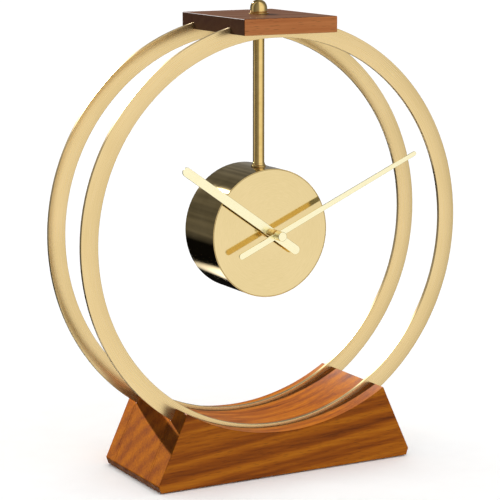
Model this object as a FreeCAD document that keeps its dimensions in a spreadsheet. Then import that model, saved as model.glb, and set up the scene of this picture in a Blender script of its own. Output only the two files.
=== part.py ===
import FreeCAD, Part
import math
import os
import re
import Sketcher

# Double-ring table clock. A walnut base holds two flat brass rings, a walnut block ties
# them at the top, and a drum with a quartz movement hangs from the block on a brass rod.
# Millimetres, +Z up, the front faces -Y, the origin lies under the middle of the base.

# Teeth of each meshing pair, driver or slower shaft first.
CANNON_TEETH, MINUTE_TEETH = 12, 36
MINUTE_PINION_TEETH, HOUR_TEETH = 10, 40
CENTRE_TEETH, THIRD_PINION_TEETH = 64, 8
THIRD_TEETH, SECONDS_PINION_TEETH = 60, 8
SECONDS_TEETH, SECOND_PINION_TEETH = 48, 8
SECOND_TEETH, ROTOR_PINION_TEETH = 40, 8
# Levels count back from the front wall of the case, one wheel deep each.
HOUR_LEVEL, MINUTE_LEVEL, PLATE_LEVEL, CENTRE_LEVEL = 0, 1, 2, 3
THIRD_LEVEL, SECONDS_LEVEL, SECOND_LEVEL, ROTOR_LEVEL = 4, 5, 6, 7
# Tooth form: pressure angle in degrees, heights in modules, and points along each flank.
PRESSURE_ANGLE, ROOT_DEPTH, FLANK_STEPS = 20, 1.25, 5
WHEEL_ADDENDUM, PINION_ADDENDUM = 0.75, 0.85
MOTION_SHARE = (CANNON_TEETH + MINUTE_TEETH) / CANNON_TEETH
# A size written as a formula follows the sizes that it names.
SIZES = {
    "Rings": {
        "ring_radius": 137.5,
        "ring_band": 11.7,
        "ring_thick": 2.5,
        "ring_gap": 52.5,
        "ring_foot": 19.5,
        "ring_height": "=ring_radius + ring_foot",
        "groove_slack": 0.1,
    },
    "Base": {
        "felt_thick": 0.8,
        "felt_inset": 5.0,
        "base_margin": 26.5,
        "base_depth": "=ring_gap + base_margin",
        "base_foot_length": 184.0,
        "base_wide_length": 187.0,
        "base_top_length": 146.0,
        "base_chamfer": 4.5,
        "base_top_height": 50.0,
        "saddle_spread": 2.5,
        "saddle_radius": "=ring_radius + saddle_spread",
        "pin_radius": 2.0,
        "pin_side": 35.0,
        "pin_height": 28.5,
        "pin_end": 3.0,
    },
    "Top block": {
        "block_length": 67.0,
        "block_margin": 32.0,
        "block_depth": "=ring_gap + block_margin",
        "block_thick": 10.3,
        "block_grip": 8.3,
        "block_rise": "=ring_radius - block_grip",
        "peg_radius": 1.25,
        "peg_side": 20.0,
        "peg_rise": 3.3,
    },
    "Hanger": {
        "stud_radius": 3.0,
        "rod_shoulder": 0.75,
        "rod_radius": "=stud_radius + rod_shoulder",
        "stud_slack": 0.1,
        "stud_top": 5.0,
        "stud_bottom": 8.0,
        "flange_lip": 2.75,
        "flange_radius": "=rod_radius + flange_lip",
        "flange_thick": 1.2,
        "washer_radius": "=flange_radius",
        "washer_thick": 0.8,
        "dome_lip": 1.75,
        "dome_radius": "=rod_radius + dome_lip",
        "dome_skirt": 3.0,
        "dome_bore": 5.6,
        "collar_width": 1.25,
        "collar_radius": "=rod_radius + collar_width",
        "collar_thick": 2.2,
        "collar_lip": 0.8,
        "collar_flare": 0.3,
        "nut_wall": 2.0,
        "nut_flats": "=2 * (stud_radius + nut_wall)",
        "nut_thick": 4.0,
    },
    "Battery": {
        "cell_radius": 7.25,
        "cell_nub": 1.3,
        "cell_nub_radius": 2.75,
        "cell_slack": 0.2,
        "cell_room": 6.8,
        "bay_slack": 0.2,
        "contact_thick": 0.4,
        "contact_height": 10.0,
        "contact_spring": 1.2,
    },
    "Movement case": {
        "bay_roof": 10.5,
        "case_wall": 1.2,
        "case_side": "=2 * (bay_roof + 2 * case_wall + 2 * (cell_radius + cell_slack) + bay_slack)",
        "case_space": 2.0,
        "case_depth": "=2 * cell_radius + case_space",
        "case_corner": 4.0,
        "cell_length": "=case_side - cell_room",
        "cover_thick": 1.5,
        "plate_thick": 1.0,
        "plate_slack": 0.1,
    },
    "Drum": {
        "drum_share": 0.75,
        "drum_radius": "=case_side * drum_share",
        "drum_wall": 1.2,
        "drum_front": 16.0,
        "drum_space": 6.5,
        "drum_rear": "=case_depth + drum_space",
        "drum_drop": 1.0,
        "dial_thick": 1.0,
        "dial_rabbet": 0.6,
        "dial_slack": 0.05,
        "nut_space": 2.6,
    },
    "Train": {
        "level_first": 0.3,
        "level_step": 1.3,
        "wheel_thick": 0.7,
        "pinion_thick": 1.0,
        "gear_backlash": 0.05,
        "third_distance": 6.4,
        "third_bearing": 200.0,
        "second_distance": 6.72,
        "second_bearing": 90.0,
        "rotor_distance": 4.32,
        "arbor_radius": 0.5,
        "pivot_radius": 0.4,
        "pivot_slack": 0.06,
        "pivot_depth": 0.7,
        "end_shake": 0.1,
        "running_slack": 0.1,
        "friction_slack": 0.03,
    },
    "Centre": {
        "centre_radius": 1.5,
        "leaf_depth": 0.4,
        "motion_distance": f"={MOTION_SHARE} * (centre_radius + leaf_depth)",
        "stub_step": 0.3,
        "stub_radius": "=centre_radius - stub_step",
        "pipe_inner": "=centre_radius + running_slack",
        "pipe_wall": 0.8,
        "pipe_outer": "=pipe_inner + pipe_wall",
        "pipe_stub": 1.4,
        "dial_clearance": 0.5,
        "dial_hole": "=pipe_outer + dial_clearance",
        "bush_wall": 1.5,
        "bush_radius": "=pipe_outer + running_slack + bush_wall",
        "bush_slack": 0.15,
        "bush_grip": 1.5,
        "dial_nut_flats": "=2 * (bush_radius + bush_grip)",
        "dial_nut_thick": 1.8,
        "dial_washer_lip": 2.5,
        "dial_washer_radius": "=bush_radius + dial_washer_lip",
        "dial_washer_thick": 0.4,
        "cushion_thick": 0.8,
        "cushion_lip": 5.0,
        "cushion_radius": "=bush_radius + cushion_lip",
    },
    "Motor": {
        "magnet_radius": 2.5,
        "magnet_thick": 1.8,
        "stator_gap": 0.5,
        "stator_rim": 3.6,
        "stator_side": 13.0,
        "stator_leg": 4.5,
        "stator_thick": 1.0,
        "stator_top": 23.4,
        "core_height": 2.4,
        "coil_radius": 2.6,
        "coil_length": 16.0,
        "board_thick": 0.8,
        "board_length": 15.0,
        "board_height": 24.0,
        "crystal_radius": 1.0,
        "crystal_length": 6.0,
    },
    "Hands": {
        "hand_thick": 1.0,
        "hour_gap": 3.6,
        "hour_tip": 80.0,
        "hour_tail": 23.0,
        "hour_half_width": 3.0,
        "hub_wall": 0.8,
        "hub_radius": "=pipe_outer + hub_wall",
        "minute_gap": 8.6,
        "minute_tip": 115.5,
        "minute_tail": 30.5,
        "minute_tip_half_width": 1.5,
        "minute_tail_half_width": 2.0,
        "hub_space": 0.5,
        "cap_wall": 1.9,
        "cap_radius": "=stub_radius + cap_wall",
        "cap_length": 6.4,
        "cap_chamfer": 0.5,
        "cap_grip": 2.56,
        "hour_start": 300.0,
        "minute_angle": 66.0,
        "knob_radius": 6.0,
        "knob_thick": 4.0,
        "knob_gap": 0.6,
        "knob_arbor": 0.8,
    },
}

FRONT_VIEW = FreeCAD.Rotation(FreeCAD.Vector(1, 0, 0), 90)
Y_AXIS = FreeCAD.Vector(0, 1, 0)
BACKWARD = FreeCAD.Rotation(FreeCAD.Vector(1, 0, 0), -90)
RIGHTWARD = FreeCAD.Rotation(FreeCAD.Vector(0, 1, 0), 90)
TOUCH = 0.001

doc = FreeCAD.newDocument("TableClock")
sheet = doc.addObject("Spreadsheet::Sheet", "Sizes")
nodes = []


def fill_sheet():
    """Write each size into the sheet as name and value or formula, with its alias."""
    row = 1
    for group, entries in SIZES.items():
        sheet.set(f"A{row}", group)
        for name in entries:
            row += 1
            sheet.set(f"A{row}", name)
            sheet.setAlias(f"B{row}", name)
        row += 1
    for entries in SIZES.values():
        for name, value in entries.items():
            sheet.set(sheet.getCellFromAlias(name), str(value))
    doc.recompute()


def linked(formula):
    """Turn a formula of size names into one that reads them from the sheet."""
    return re.sub(r"\b([a-z]+(?:_[a-z]+)+)\b", r"Sizes.\1", str(formula))


def number(formula):
    """The present value of a formula of size names."""
    return float(sheet.evalExpression(linked(formula)))


def bind(feature, **formulas):
    for prop, formula in formulas.items():
        feature.setExpression(prop, linked(formula))


def place(feature, x="0", y="0", z="0"):
    """Bind the three parts of a placement's position to formulas."""
    for axis, formula in (("x", x), ("y", y), ("z", z)):
        feature.setExpression(f".Placement.Base.{axis}", linked(formula))


def keep(feature, label):
    """Name a finished sub-part and list it for export."""
    feature.Label = label
    nodes.append(feature)
    return feature


def hidden(kind, stem):
    """A helper feature that only serves another one."""
    return doc.addObject(kind, f"{stem}_{len(doc.Objects)}")


def box(width, depth, height, x="0", y="0", z="0"):
    """A box centred on x, starting at y and z."""
    feature = hidden("Part::Box", "box")
    bind(feature, Length=width, Width=depth, Height=height)
    place(feature, f"({x}) - ({width}) / 2", y, z)
    return feature


def bar(radius, length, x="0", y="0", z="0", turn=None):
    """A round bar along Z, or along the axis that the turn gives it."""
    feature = hidden("Part::Cylinder", "bar")
    feature.Placement = FreeCAD.Placement(FreeCAD.Vector(), turn or FreeCAD.Rotation())
    bind(feature, Radius=radius, Height=length)
    place(feature, x, y, z)
    return feature


def fuse(*shapes):
    feature = hidden("Part::MultiFuse", "joined")
    feature.Shapes = list(shapes)
    return feature


def cut(base, *tools):
    feature = hidden("Part::Cut", "cut")
    feature.Base = base
    feature.Tool = tools[0] if len(tools) == 1 else fuse(*tools)
    return feature


def rounded(feature, radius):
    """Round the edges of a plate that run from front to back."""
    doc.recompute()
    edges = []
    size = number(radius)
    for index, edge in enumerate(feature.Shape.Edges, 1):
        ends = [vertex.Point for vertex in edge.Vertexes]
        if len(ends) == 2 and (ends[1] - ends[0]).cross(Y_AXIS).Length < TOUCH:
            edges.append((index, size, size))
    smooth = hidden("Part::Fillet", "rounded")
    smooth.Base = feature
    smooth.Edges = edges
    return smooth


def sketch_on(body, role):
    """A sketch on one of the body's own origin planes."""
    plane = next(f for f in body.Origin.OriginFeatures if f.Role == role)
    sketch = body.newObject("Sketcher::SketchObject", f"sketch_{len(doc.Objects)}")
    sketch.AttachmentSupport = [(plane, "")]
    sketch.MapMode = "FlatFace"
    return sketch


def pin_point(sketch, geometry, point, x, y):
    """Hold a sketch point at two formulas, on an axis where a formula is zero."""
    for kind, formula, axis in (("DistanceX", x, -2), ("DistanceY", y, -1)):
        if formula == "0":
            sketch.addConstraint(Sketcher.Constraint("PointOnObject", geometry, point, axis))
            continue
        made = sketch.addConstraint(
            Sketcher.Constraint(kind, -1, 1, geometry, point, number(formula))
        )
        sketch.setExpression(f"Constraints[{made}]", linked(formula))


def close_corners(sketch, count):
    for index in range(count):
        following = (index + 1) % count
        sketch.addConstraint(Sketcher.Constraint("Coincident", index, 2, following, 1))


def outline(sketch, corners):
    """A closed outline of straight lines through corners given as formulas."""
    points = [FreeCAD.Vector(number(x), number(y), 0) for x, y in corners]
    for start, end in zip(points, points[1:] + points[:1]):
        sketch.addGeometry(Part.LineSegment(start, end), False)
    close_corners(sketch, len(points))
    for index, (x, y) in enumerate(corners):
        pin_point(sketch, index, 1, x, y)


def circle(sketch, radius, x="0", y="0"):
    centre = FreeCAD.Vector(number(x), number(y), 0)
    shape = Part.Circle(centre, FreeCAD.Vector(0, 0, 1), number(radius))
    index = sketch.addGeometry(shape, False)
    made = sketch.addConstraint(Sketcher.Constraint("Radius", index, number(radius)))
    sketch.setExpression(f"Constraints[{made}]", linked(radius))
    if x == "0" and y == "0":
        sketch.addConstraint(Sketcher.Constraint("Coincident", index, 3, -1, 1))
    else:
        pin_point(sketch, index, 3, x, y)


def turned(label, axis, corners, x="0", y="0", z="0"):
    """A piece turned about its own axis: corners are radius and place along the axis."""
    body = doc.addObject("PartDesign::Body", label)
    sketch = sketch_on(body, "XZ_Plane" if axis == "Z" else "XY_Plane")
    if axis == "X":
        corners = [(along, radius) for radius, along in corners]
    outline(sketch, corners)
    turn = body.newObject("PartDesign::Revolution", f"{label}_turned")
    turn.Profile = sketch
    turn.ReferenceAxis = (sketch, ["H_Axis" if axis == "X" else "V_Axis"])
    turn.Angle = 360
    place(body, x, y, z)
    return keep(body, label)


def ring_corners(inner, outer, start, end):
    """The section of a plain washer or tube."""
    return [(inner, start), (outer, start), (outer, end), (inner, end)]


def plate_body(label, thickness, y, z="0", x="0"):
    """A body for a flat piece that faces the front; its rear face lies at y."""
    body = doc.addObject("PartDesign::Body", label)
    place(body, x, y, z)
    sketch = sketch_on(body, "XZ_Plane")
    pad = body.newObject("PartDesign::Pad", f"{label}_pad")
    pad.Profile = sketch
    bind(pad, Length=thickness)
    return body, sketch


def pocket(body, depth, offset, draw):
    """Cut backward from a plane that lies offset in front of the body's own origin."""
    sketch = sketch_on(body, "XZ_Plane")
    sketch.setExpression(".AttachmentOffset.Base.z", linked(offset))
    draw(sketch)
    doc.recompute()
    before = body.Shape.Volume
    hole = body.newObject("PartDesign::Pocket", f"pocket_{len(doc.Objects)}")
    hole.Profile = sketch
    bind(hole, Length=depth)
    doc.recompute()
    if body.Shape.Volume >= before:
        raise ValueError(f"a pocket in {body.Label} cuts nothing")


def nut(label, flats, bore, thickness, turn, x="0", y="0", z="0"):
    """A hexagon nut about Z, or about the axis that the turn gives it."""
    blank = hidden("Part::Prism", "hexagon")
    blank.Polygon = 6
    blank.Placement = FreeCAD.Placement(FreeCAD.Vector(), turn)
    bind(blank, Circumradius=f"({flats}) / sqrt(3)", Height=thickness)
    place(blank, x, y, z)
    return keep(cut(blank, bar(bore, thickness, x, y, z, turn)), label)


# Places that several pieces share.
RING_OUT = "ring_gap / 2 + ring_thick"
BLOCK_BOTTOM = "ring_height + block_rise"
BLOCK_TOP = "ring_height + block_rise + block_thick"
CENTRE = "ring_height - drum_drop"
DRUM_INNER = "drum_radius - drum_wall"
SHELL_WALL = "0 - drum_front + dial_thick + nut_space"
CASE_FRONT = f"{SHELL_WALL} + drum_wall + cushion_thick"
CASE_INSIDE = f"{CASE_FRONT} + case_wall"
CASE_REAR = f"{CASE_FRONT} + case_depth"
COVER_INSIDE = f"{CASE_REAR} - cover_thick"
HOUR_Y = "0 - drum_front - hour_gap"
MINUTE_Y = "0 - drum_front - minute_gap"
CELL_Z = "0 - bay_roof - case_wall - cell_slack - cell_radius"


def level(index):
    """The front of one level of the train, as a formula."""
    return f"{CASE_INSIDE} + level_first + {index} * level_step"


def base_block():
    """Walnut foot: sloped ends, a hollow top for the rings, a groove for each ring."""
    body, sketch = plate_body("base_block", "base_depth", "base_depth / 2")
    half_foot, half_wide, half_top = (f"base_{part}_length / 2" for part in ("foot", "wide", "top"))
    corners = [
        (f"0 - {half_foot}", "felt_thick"),
        (half_foot, "felt_thick"),
        (half_wide, "felt_thick + base_chamfer"),
        (half_top, "base_top_height"),
        (f"0 - {half_top}", "base_top_height"),
        (f"0 - {half_wide}", "felt_thick + base_chamfer"),
    ]
    points = [FreeCAD.Vector(number(x), number(y), 0) for x, y in corners]
    radius = number("saddle_radius")
    rise = math.sqrt(radius**2 - points[3].x ** 2)
    hub = FreeCAD.Vector(0, points[3].y + rise, 0)
    swing = math.asin(points[3].x / radius)
    saddle_start = 1.5 * math.pi - swing
    saddle = Part.ArcOfCircle(
        Part.Circle(hub, FreeCAD.Vector(0, 0, 1), radius), saddle_start, saddle_start + 2 * swing
    )
    for index in (0, 1, 2):
        sketch.addGeometry(Part.LineSegment(points[index], points[index + 1]), False)
    arc = sketch.addGeometry(saddle, False)
    for index in (4, 5):
        sketch.addGeometry(Part.LineSegment(points[index], points[(index + 1) % 6]), False)
    joints = [(0, 2, 1, 1), (1, 2, 2, 1), (2, 2, arc, 2), (arc, 1, 4, 1), (4, 2, 5, 1), (5, 2, 0, 1)]
    for joint in joints:
        sketch.addConstraint(Sketcher.Constraint("Coincident", *joint))
    starts = [(0, 1), (1, 1), (2, 1), (2, 2), (4, 1), (5, 1)]
    for (line, end), (x, y) in zip(starts, corners):
        pin_point(sketch, line, end, x, y)
    made = sketch.addConstraint(Sketcher.Constraint("Radius", arc, radius))
    sketch.setExpression(f"Constraints[{made}]", linked("saddle_radius"))
    cut_grooves(body, "base_depth / 2", "0")
    pin_holes(body, "pin_radius", "pin_side", "pin_height", "base_depth / 2")
    return keep(body, "base_block")


def cut_grooves(body, rear, drop):
    """One curved groove for each ring, wider than the ring by the slack on each side."""
    width = "ring_thick + 2 * groove_slack"
    for front in ("ring_gap / 2 - groove_slack", f"0 - {RING_OUT} - groove_slack"):
        pocket(
            body,
            width,
            f"{rear} - ({front})",
            lambda sketch: circle(sketch, "ring_radius + groove_slack", y=f"ring_height - ({drop})"),
        )


def pin_holes(body, radius, side, height, rear):
    """Two blind cross holes, bored from the rear face through both grooves."""
    def draw(sketch):
        circle(sketch, radius, side, height)
        circle(sketch, radius, f"0 - {side}", height)

    pocket(body, f"{rear} + {RING_OUT} + pin_end", f"{rear} + {RING_OUT} + pin_end", draw)


def base_felt():
    """Felt sheet under the foot; the clock rests on it."""
    length = "base_foot_length - 2 * felt_inset"
    depth = "base_depth - 2 * felt_inset"
    sheet_box = box(length, depth, "felt_thick", "0", f"0 - ({depth}) / 2", "0")
    return keep(sheet_box, "base_felt")


def ring(label, front):
    """Flat brass ring with two cross holes at the foot and two at the top."""
    body, sketch = plate_body(label, "ring_thick", f"{front} + ring_thick", "ring_height")
    circle(sketch, "ring_radius")
    circle(sketch, "ring_radius - ring_band")
    for side in ("", "0 - "):
        circle(sketch, "pin_radius", f"{side}pin_side", "pin_height - ring_height")
        circle(sketch, "peg_radius", f"{side}peg_side", "block_rise + peg_rise")
    return keep(body, label)


def cross_pins(label, radius, side, height, rear):
    """Two steel pins that lock both rings into the wood."""
    front = f"0 - ({RING_OUT}) - pin_end"
    length = f"{rear} + {RING_OUT} + pin_end"
    pins = [bar(radius, length, f"{sign}{side}", front, height, BACKWARD) for sign in ("", "0 - ")]
    return keep(fuse(*pins), label)


def top_block():
    """Walnut bridge that ties the rings, with a bore for the hanger's stud."""
    body, sketch = plate_body("top_block", "block_depth", "block_depth / 2", BLOCK_BOTTOM)
    half = "block_length / 2"
    corners = [(f"0 - {half}", "0"), (half, "0"), (half, "block_thick"), (f"0 - {half}", "block_thick")]
    outline(sketch, corners)
    cut_grooves(body, "block_depth / 2", BLOCK_BOTTOM)
    pin_holes(body, "peg_radius", "peg_side", "peg_rise", "block_depth / 2")
    bore = sketch_on(body, "XY_Plane")
    circle(bore, "stud_radius + stud_slack", "0", "0 - block_depth / 2")
    hole = body.newObject("PartDesign::Pocket", "stud_bore")
    hole.Profile = bore
    hole.Reversed = True
    bind(hole, Length="block_thick")
    return keep(body, "top_block")


def hanger():
    """Rod with a thinner stud at each end, and what clamps it to block and drum."""
    bore = "stud_radius + stud_slack"
    drum_top = f"{CENTRE} + drum_radius"
    shoulder = f"{BLOCK_BOTTOM} - flange_thick"
    turned(
        "hanger_rod",
        "Z",
        [
            ("0", f"{drum_top} - stud_bottom"),
            ("stud_radius", f"{drum_top} - stud_bottom"),
            ("stud_radius", drum_top),
            ("rod_radius", drum_top),
            ("rod_radius", shoulder),
            ("stud_radius", shoulder),
            ("stud_radius", f"{BLOCK_TOP} + stud_top"),
            ("0", f"{BLOCK_TOP} + stud_top"),
        ],
    )
    turned("rod_flange", "Z", ring_corners(bore, "flange_radius", shoulder, BLOCK_BOTTOM))
    washer_top = f"{BLOCK_TOP} + washer_thick"
    turned("top_washer", "Z", ring_corners(bore, "washer_radius", BLOCK_TOP, washer_top))
    dome_nut(bore, washer_top)
    collar(drum_top)
    inner_drop = f"{DRUM_INNER} - sqrt(({DRUM_INNER})^2 - washer_radius^2)"
    under = f"{CENTRE} + {DRUM_INNER} - ({inner_drop})"
    seat = f"{under} - washer_thick"
    turned("drum_washer", "Z", ring_corners(bore, "washer_radius", seat, under))
    nut("drum_nut", "nut_flats", "stud_radius", "nut_thick", FreeCAD.Rotation(), z=f"{seat} - nut_thick")


def dome_nut(bore, bottom):
    """Round cap nut with a half-ball top and a blind bore, as a turned shell."""
    body = doc.addObject("PartDesign::Body", "dome_nut")
    place(body, z=bottom)
    sketch = sketch_on(body, "XZ_Plane")
    radius, skirt = number("dome_radius"), number("dome_skirt")
    inner, roof = number(bore), number("dome_bore")
    path = [(0, roof), (inner, roof), (inner, 0), (radius, 0), (radius, skirt), (0, radius + skirt)]
    points = [FreeCAD.Vector(x, y, 0) for x, y in path]
    for index in (0, 1, 2, 3):
        sketch.addGeometry(Part.LineSegment(points[index], points[index + 1]), False)
    ball = Part.Circle(FreeCAD.Vector(0, skirt, 0), FreeCAD.Vector(0, 0, 1), radius)
    arc = sketch.addGeometry(Part.ArcOfCircle(ball, 0, math.pi / 2), False)
    close = sketch.addGeometry(Part.LineSegment(points[5], points[0]), False)
    joints = [(0, 2, 1, 1), (1, 2, 2, 1), (2, 2, 3, 1), (3, 2, arc, 1)]
    joints += [(arc, 2, close, 1), (close, 2, 0, 1)]
    for joint in joints:
        sketch.addConstraint(Sketcher.Constraint("Coincident", *joint))
    pin_point(sketch, 0, 1, "0", "dome_bore")
    pin_point(sketch, 1, 1, bore, "dome_bore")
    pin_point(sketch, 2, 1, bore, "0")
    pin_point(sketch, 3, 1, "dome_radius", "0")
    pin_point(sketch, arc, 1, "dome_radius", "dome_skirt")
    sketch.addConstraint(Sketcher.Constraint("PointOnObject", arc, 2, -2))
    pin_point(sketch, arc, 3, "0", "dome_skirt")
    turn = body.newObject("PartDesign::Revolution", "dome_turned")
    turn.Profile = sketch
    turn.ReferenceAxis = (sketch, ["V_Axis"])
    turn.Angle = 360
    return keep(body, "dome_nut")


def collar(drum_top):
    """Flared collar where the rod meets the drum."""
    inner = "rod_radius"
    return turned(
        "rod_collar",
        "Z",
        [
            (inner, drum_top),
            ("collar_radius", drum_top),
            ("collar_radius", f"{drum_top} + collar_lip"),
            (f"{inner} + collar_flare", f"{drum_top} + collar_thick"),
            (inner, f"{drum_top} + collar_thick"),
        ],
    )


def drum_shell():
    """Drawn cup, open at the back, with an inner wall that carries the movement."""
    hole = "bush_radius + bush_slack"
    front, rear = "0 - drum_front", "drum_rear"
    wall_back = f"{SHELL_WALL} + drum_wall"
    rabbet = "drum_radius - dial_rabbet"
    dial_back = "0 - drum_front + dial_thick"
    body = turned(
        "drum_shell",
        "Y",
        [
            ("drum_radius", front),
            ("drum_radius", rear),
            (DRUM_INNER, rear),
            (DRUM_INNER, wall_back),
            (hole, wall_back),
            (hole, SHELL_WALL),
            (DRUM_INNER, SHELL_WALL),
            (DRUM_INNER, dial_back),
            (rabbet, dial_back),
            (rabbet, front),
        ],
        z=CENTRE,
    )
    bore = sketch_on(body, "XY_Plane")
    circle(bore, "stud_radius + stud_slack")
    hole_up = body.newObject("PartDesign::Pocket", "stud_hole")
    hole_up.Profile = bore
    hole_up.Reversed = True
    bind(hole_up, Length="drum_radius")
    return body


def dial_and_fixings():
    """Dial disc, and the nut and washers on the bush that hold the movement."""
    front = "0 - drum_front"
    dial_edge = "drum_radius - dial_rabbet - dial_slack"
    dial_corners = ring_corners("dial_hole", dial_edge, front, f"{front} + dial_thick")
    turned("dial_plate", "Y", dial_corners, z=CENTRE)
    bore = "bush_radius + bush_slack"
    washer_front = f"{SHELL_WALL} - dial_washer_thick"
    washer_corners = ring_corners(bore, "dial_washer_radius", washer_front, SHELL_WALL)
    turned("dial_washer", "Y", washer_corners, z=CENTRE)
    nut_front = f"{washer_front} - dial_nut_thick"
    nut("dial_nut", "dial_nut_flats", "bush_radius", "dial_nut_thick", BACKWARD, y=nut_front, z=CENTRE)
    behind = f"{SHELL_WALL} + drum_wall"
    turned(
        "cushion_washer",
        "Y",
        ring_corners(bore, "cushion_radius", behind, f"{behind} + cushion_thick"),
        z=CENTRE,
    )
    turned(
        "centre_bush",
        "Y",
        ring_corners("bush_radius - bush_wall", "bush_radius", nut_front, CASE_INSIDE),
        z=CENTRE,
    )


def movement_case():
    """Moulded case: a train chamber above and an open battery bay below."""
    side = "case_side"
    low = f"{CENTRE} - case_side / 2"
    outer = rounded(box(side, "case_depth", side, "0", CASE_FRONT, low), "case_corner")
    inner_width = "case_side - 2 * case_wall"
    inner_depth = "case_depth - case_wall"
    chamber_height = "case_side / 2 - case_wall + bay_roof"
    chamber_low = f"{CENTRE} - bay_roof"
    chamber = box(inner_width, inner_depth, chamber_height, "0", CASE_INSIDE, chamber_low)
    bay_height = "case_side / 2 - case_wall - bay_roof - case_wall"
    bay = box(inner_width, inner_depth, bay_height, "0", CASE_INSIDE, f"{low} + case_wall")
    bush_hole = bar("bush_radius", "case_wall", "0", CASE_FRONT, CENTRE, BACKWARD)
    chamber = rounded(chamber, "case_corner - case_wall")
    bay = rounded(bay, "case_corner - case_wall")
    step_height = "case_side / 2 + bay_roof"
    step = box("case_side", "cover_thick", step_height, "0", COVER_INSIDE, f"{CENTRE} - bay_roof")
    return keep(cut(outer, chamber, bay, bush_hole, step), "movement_case")


def pivot_hole(x, z, front, radius="pivot_radius + pivot_slack", depth="pivot_depth"):
    return bar(radius, depth, x, front, z, BACKWARD)


def arbor_places():
    """Where each off-centre arbor stands, as formulas for x and z."""
    third_x = "third_distance * cos(third_bearing * 1 deg)"
    third_z = "third_distance * sin(third_bearing * 1 deg)"
    second_x = "second_distance * cos(second_bearing * 1 deg)"
    second_z = "second_distance * sin(second_bearing * 1 deg)"
    reach = "(second_distance + rotor_distance)"
    rotor_x = f"{reach} * cos(second_bearing * 1 deg)"
    rotor_z = f"{reach} * sin(second_bearing * 1 deg)"
    return {
        "minute": ("motion_distance", CENTRE),
        "third": (third_x, f"{CENTRE} + {third_z}"),
        "second": (second_x, f"{CENTRE} + {second_z}"),
        "rotor": (rotor_x, f"{CENTRE} + {rotor_z}"),
    }


def middle_plate():
    """Moulded plate between motion work and train; holds the front pivots."""
    width = "case_side - 2 * case_wall - 2 * plate_slack"
    height = "case_side / 2 - case_wall + bay_roof - 2 * plate_slack"
    front = level(PLATE_LEVEL)
    low = f"{CENTRE} - bay_roof + plate_slack"
    slab = box(width, "plate_thick", height, "0", front, low)
    blank = rounded(slab, "case_corner - case_wall")
    spots = arbor_places()
    holes = [bar("centre_radius + running_slack", "plate_thick", "0", front, CENTRE, BACKWARD)]
    x, z = spots["minute"]
    holes.append(bar("knob_arbor + running_slack", "plate_thick", x, front, z, BACKWARD))
    for name in ("third", "second", "rotor"):
        x, z = spots[name]
        holes.append(pivot_hole(x, z, f"{front} + plate_thick - pivot_depth"))
    return keep(cut(blank, *holes), "middle_plate")


def movement_cover():
    """Rear lid of the train chamber, with the rear pivots and the knob's hole."""
    height = "case_side / 2 + bay_roof"
    low = f"{CENTRE} - bay_roof"
    lid = box("case_side", "cover_thick", height, "0", COVER_INSIDE, low)
    blank = rounded(lid, "case_corner")
    spots = arbor_places()
    holes = [pivot_hole("0", CENTRE, COVER_INSIDE)]
    for name in ("third", "second", "rotor"):
        x, z = spots[name]
        holes.append(pivot_hole(x, z, COVER_INSIDE))
    x, z = spots["minute"]
    holes.append(bar("knob_arbor + running_slack", "cover_thick", x, COVER_INSIDE, z, BACKWARD))
    return keep(cut(blank, *holes), "movement_cover")


def battery():
    """AA cell across the bay, with its raised contact at the right end."""
    half = "cell_length / 2"
    corners = [
        ("0", f"0 - {half}"),
        ("cell_radius", f"0 - {half}"),
        ("cell_radius", half),
        ("cell_nub_radius", half),
        ("cell_nub_radius", f"{half} + cell_nub"),
        ("0", f"{half} + cell_nub"),
    ]
    y = f"{CASE_INSIDE} + cell_slack + cell_radius"
    turned("battery", "X", corners, "0", y, f"{CENTRE} + {CELL_Z}")


def battery_contacts():
    """Sprung contact plates at both ends of the bay."""
    y = f"{CASE_INSIDE} + cell_slack + cell_radius"
    z = f"{CENTRE} + {CELL_Z}"
    wall = "(case_side / 2 - case_wall)"
    low = f"{z} - contact_height / 2"
    start = f"{y} - contact_height / 2"
    plates = []
    for x in (f"{wall} - contact_thick / 2", f"0 - {wall} + contact_thick / 2"):
        plates.append(box("contact_thick", "contact_height", "contact_height", x, start, low))
    coil_x = f"0 - {wall} + contact_thick"
    spring = bar("cell_nub_radius", "contact_spring", coil_x, y, z, RIGHTWARD)
    return keep(fuse(fuse(plates[1], spring), plates[0]), "battery_contacts")


def motor():
    """Stator, coil core and coil of the stepping motor, with its circuit."""
    rotor_x, rotor_z = arbor_places()["rotor"]
    front = f"{level(ROTOR_LEVEL)} + end_shake"
    width = "2 * stator_side"
    legs_low = f"{rotor_z} + stator_rim"
    low = f"{rotor_z} - stator_rim"
    top = f"{CENTRE} + stator_top"
    plate = box(width, "stator_thick", f"({top}) - ({low})", rotor_x, front, low)
    window_width = f"{width} - 2 * stator_leg"
    window_height = f"({top}) - ({legs_low})"
    window = box(window_width, "stator_thick", window_height, rotor_x, front, legs_low)
    hole = bar("magnet_radius + stator_gap", "stator_thick", rotor_x, front, rotor_z, BACKWARD)
    keep(cut(plate, window, hole), "stator")
    core_front = f"{front} + stator_thick"
    core_low = f"{top} - core_height"
    keep(box(width, "stator_thick", "core_height", rotor_x, core_front, core_low), "coil_core")
    coil_y = f"{core_front} + stator_thick / 2"
    coil_z = f"{top} - core_height / 2"
    coil_x = f"{rotor_x} - coil_length / 2"
    winding = bar("coil_radius", "coil_length", coil_x, coil_y, coil_z, RIGHTWARD)
    gap = "2 * plate_slack"
    slot = box(
        "coil_length",
        f"stator_thick + {gap}",
        f"core_height + {gap}",
        rotor_x,
        f"{core_front} - plate_slack",
        f"{top} - core_height - plate_slack",
    )
    keep(cut(winding, slot), "coil")
    circuit()


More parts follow.
